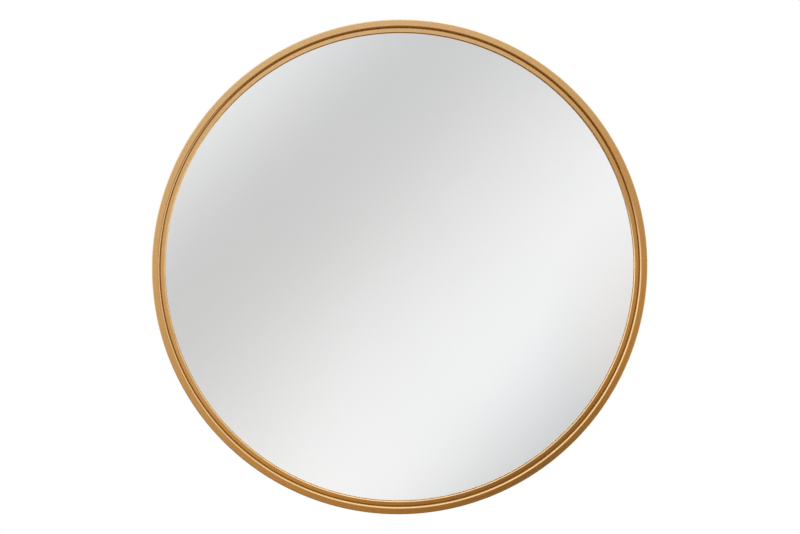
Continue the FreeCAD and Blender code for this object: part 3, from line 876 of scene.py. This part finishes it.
# Wall bumpers: four feet moulded from black rubber, stuck to the board near its edge. Their faces lie
# on the wall.
foot_low, foot_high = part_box("wall_bumpers")
foot_radius = 0.006
foot_crown = 0.0012
foot_crown_steps = 5
foot_steps = 40
foot_count = 4
foot_height = foot_high.y - foot_low.y
foot_circle = (foot_high.x - foot_radius) / math.sin(math.pi / foot_count)
foot_black = (0.018, 0.018, 0.018)
foot_mean = (0.034, 0.034, 0.033)
foot_grey = (0.06, 0.06, 0.058)
foot_tones = [(0.3, foot_black), (0.5, foot_mean), (0.7, foot_grey)]
foot_section = disc_section(foot_radius, 0, foot_height, foot_crown, foot_crown_steps)
foot_rubber = specked("bumper_rubber", fine_size=0.0004, coarse_size=0.003, tones=foot_tones,
                      roughness=(0.5, 0.7), depth=0.00003)
foot_blank = turned("foot_blank", foot_section, foot_steps, [foot_rubber])
foot_sizes = {"Vertices": foot_count, "Radius": foot_circle, "Station": foot_low.y}
foot_sizes.update({"Quarter Turn": math.pi / foot_count, "Loose Turn": 0.0, "Seed": 1})
foot_sizes.update({"Finish": foot_rubber})
feet = grown("rubber_feet", foot_blank.data, round_pattern, foot_sizes)
bpy.data.objects.remove(foot_blank)
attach(feet, "mirror")
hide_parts("wall_bumpers")

# Floor: a plain pale studio floor under the mirror, fading out into the white round it. It isn't part
# of the mirror.
floor_level = -0.62
floor_reach = 0.7
floor_fade = 0.4
floor_steps = 96


def pale_floor():
    """Pale matt paper that fades to nothing towards its edge."""
    finish, tree, shader = new_finish("pale_floor")
    place = object_place(tree)
    grain = place_group(tree, speckle_group, place, {"Fine Size": 0.004, "Coarse Size": 0.2})
    tones = [(0.3, (0.88, 0.88, 0.87)), (0.7, (0.92, 0.92, 0.91))]
    link(tree, ramp_node(tree, grain.outputs["Coarse"], tones), shader.inputs["Base Color"])
    shader.inputs["Roughness"].default_value = 0.9
    across, along = split_place(tree, place)[:2]
    away = length_of(tree, across, along)
    link(tree, spread(tree, away, floor_fade, floor_reach, 1, 0), shader.inputs["Alpha"])
    return finish


floor_mesh = bpy.data.meshes.new("floor")
floor_shape = bmesh.new()
bmesh.ops.create_circle(floor_shape, cap_ends=True, segments=floor_steps, radius=floor_reach,
                        matrix=Matrix.Translation((0, 0, floor_level)))
floor_shape.to_mesh(floor_mesh)
floor_shape.free()
floor_mesh.materials.append(pale_floor())
floor = bpy.data.objects.new("floor", floor_mesh)
bpy.context.scene.collection.objects.link(floor)
floor.visible_glossy = False

# Camera: at the photograph's distance and height, a little above and to the left of the mirror's axis.
# The view's width is what the picture spans at the rim's front.
view_distance = 2.5
view_left = math.radians(3.6)
view_up = math.radians(4.9)
view_width = 1.288
aim = Vector((-0.0035, rim_front, 0.0054))
back_along = Vector((-math.sin(view_left) * math.cos(view_up),
                     -math.cos(view_left) * math.cos(view_up), math.sin(view_up)))
camera = bpy.data.objects.new("camera", bpy.data.cameras.new("camera"))
bpy.context.scene.collection.objects.link(camera)
camera.location = aim + back_along * view_distance
camera.rotation_euler = (-back_along).to_track_quat("-Z", "Y").to_euler()
camera.data.lens = camera.data.sensor_width * view_distance / view_width
bpy.context.scene.camera = camera

# Studio: white all round for the eye. The pane shows a soft tone from upper left to lower right. The
# metal shows a warm slope with bright and dark areas on it, and three soft lamps light the rest.
scene = bpy.context.scene
scene.view_settings.view_transform = "Standard"
world = bpy.data.worlds.new("studio")
scene.world = world
world.use_nodes = True
studio = world.node_tree
studio.nodes.clear()
sky = studio.nodes.new("ShaderNodeOutputWorld")
direction = studio.nodes.new("ShaderNodeTexCoord").outputs["Generated"]
ray = studio.nodes.new("ShaderNodeLightPath")


def toward(vector):
    """How far a direction leans along a vector."""
    node = studio.nodes.new("ShaderNodeVectorMath")
    node.operation = "DOT_PRODUCT"
    node.inputs[1].default_value = Vector(vector).normalized()
    link(studio, direction, node.inputs[0])
    return node.outputs["Value"]


def area(vector, edge, full, most=1):
    """A round area about a vector, from 0 at its edge to its most where it is full."""
    return spread(studio, toward(vector), edge, full, 0, most)


def slope_tone(vector, tones, interpolation="LINEAR"):
    """Tones along a vector, each given with how far a direction leans along it."""
    low, high = tones[0][0], tones[-1][0]
    share = spread(studio, toward(vector), low, high, 0, 1)
    stops = [((place - low) / (high - low), tone) for place, tone in tones]
    return ramp_node(studio, share, stops, interpolation)


def grey(tone):
    """An even grey."""
    return (tone, tone, tone)


glass_tint = Vector((0.994, 0.988, 1.006))
glass_greys = [(-0.09, 0.95), (0.017, 0.64), (0.185, 0.97), (0.305, 0.52)]
in_glass = [(place, tuple(glass_tint * tone)) for place, tone in glass_greys]
glass_dip = area((0.26, -0.957, -0.13), edge=0.9936, full=0.9994, most=0.3)
glass_tone = slope_tone((1, 0, -1), in_glass, "EASE")
glass_tone = blend_tone(studio, glass_dip, glass_tone, (0.69, 0.68, 0.68))
in_metal = [(-0.35, grey(1.25)), (-0.12, grey(1.12)), (-0.04, (1.1, 1.08, 1.07))]
in_metal += [(0.06, (0.97, 0.8, 0.57)), (0.17, (0.84, 0.56, 0.24))]
in_metal += [(0.28, (0.76, 0.43, 0.09)), (0.45, (0.5, 0.28, 0.05))]
dark_flag = area((0.2165, -0.955, -0.2026), edge=0.9788, full=0.9975)
warm_spot = area((0.2463, -0.9605, -0.1293), edge=0.9966, full=0.999)
below = area((-0.3, 0, -1), edge=0.42, full=0.8)
fill_stops = [(0.4, grey(0)), (0.62, grey(1)), (0.8, grey(1)), (0.97, grey(0.3))]
fill = ramp_node(studio, toward((1, 0, 0.3)), fill_stops)
key_stops = [(0.2, grey(0)), (0.38, grey(1)), (0.7, grey(1)), (0.95, grey(0))]
key = ramp_node(studio, toward((-0.6, 0, 0.8)), key_stops, "EASE")
behind = area((0, 1, 0), edge=0.05, full=0.4)
behind_tones = [(-0.8, grey(0.2)), (-0.16, grey(0.45)), (0.288, grey(1.0)), (0.8, grey(0.6))]
behind_tone = slope_tone((0.35, 0, 1), behind_tones)
metal_areas = [(dark_flag, (0.02, 0.0, 0.0)), (warm_spot, (1.22, 0.75, 0.19))]
metal_areas += [(below, (0.32, 0.17, 0.05)), (fill, (1.58, 1.53, 1.46))]
metal_areas += [(key, (1.95, 1.95, 2.1)), (behind, behind_tone)]
metal_tone = slope_tone((0.342, 0, -0.94), in_metal)
for share, tone in metal_areas:
    metal_tone = blend_tone(studio, share, metal_tone, tone)
plain = grey(0.75)
seen = blend_tone(studio, ray.outputs["Is Glossy Ray"], plain, metal_tone)
seen = blend_tone(studio, ray.outputs["Is Transmission Ray"], seen, glass_tone)
seen = blend_tone(studio, ray.outputs["Is Camera Ray"], seen, grey(1))
light = studio.nodes.new("ShaderNodeBackground")
link(studio, seen, light.inputs["Color"])
link(studio, light.outputs["Background"], sky.inputs["Surface"])


def soft_lamp(name, place, width, height, power):
    """A soft light that faces the mirror."""
    lamp = bpy.data.objects.new(name, bpy.data.lights.new(name, "AREA"))
    lamp.data.shape = "RECTANGLE"
    lamp.data.size = width
    lamp.data.size_y = height
    lamp.data.energy = power
    lamp.location = place
    lamp.rotation_euler = (-Vector(place)).to_track_quat("-Z", "Y").to_euler()
    scene.collection.objects.link(lamp)
    return lamp


top_light = soft_lamp("top_light", (0, -1.3, 1.9), width=4.4, height=0.7, power=28)
left_light = soft_lamp("left_light", (-1.6, -1.5, 1.3), width=1.7, height=1.7, power=12)
soft_lamp("back_light", (0.9, 1.9, 1.5), width=1.4, height=1.4, power=16)
for lamp in (top_light, left_light):
    lamp.visible_glossy = False
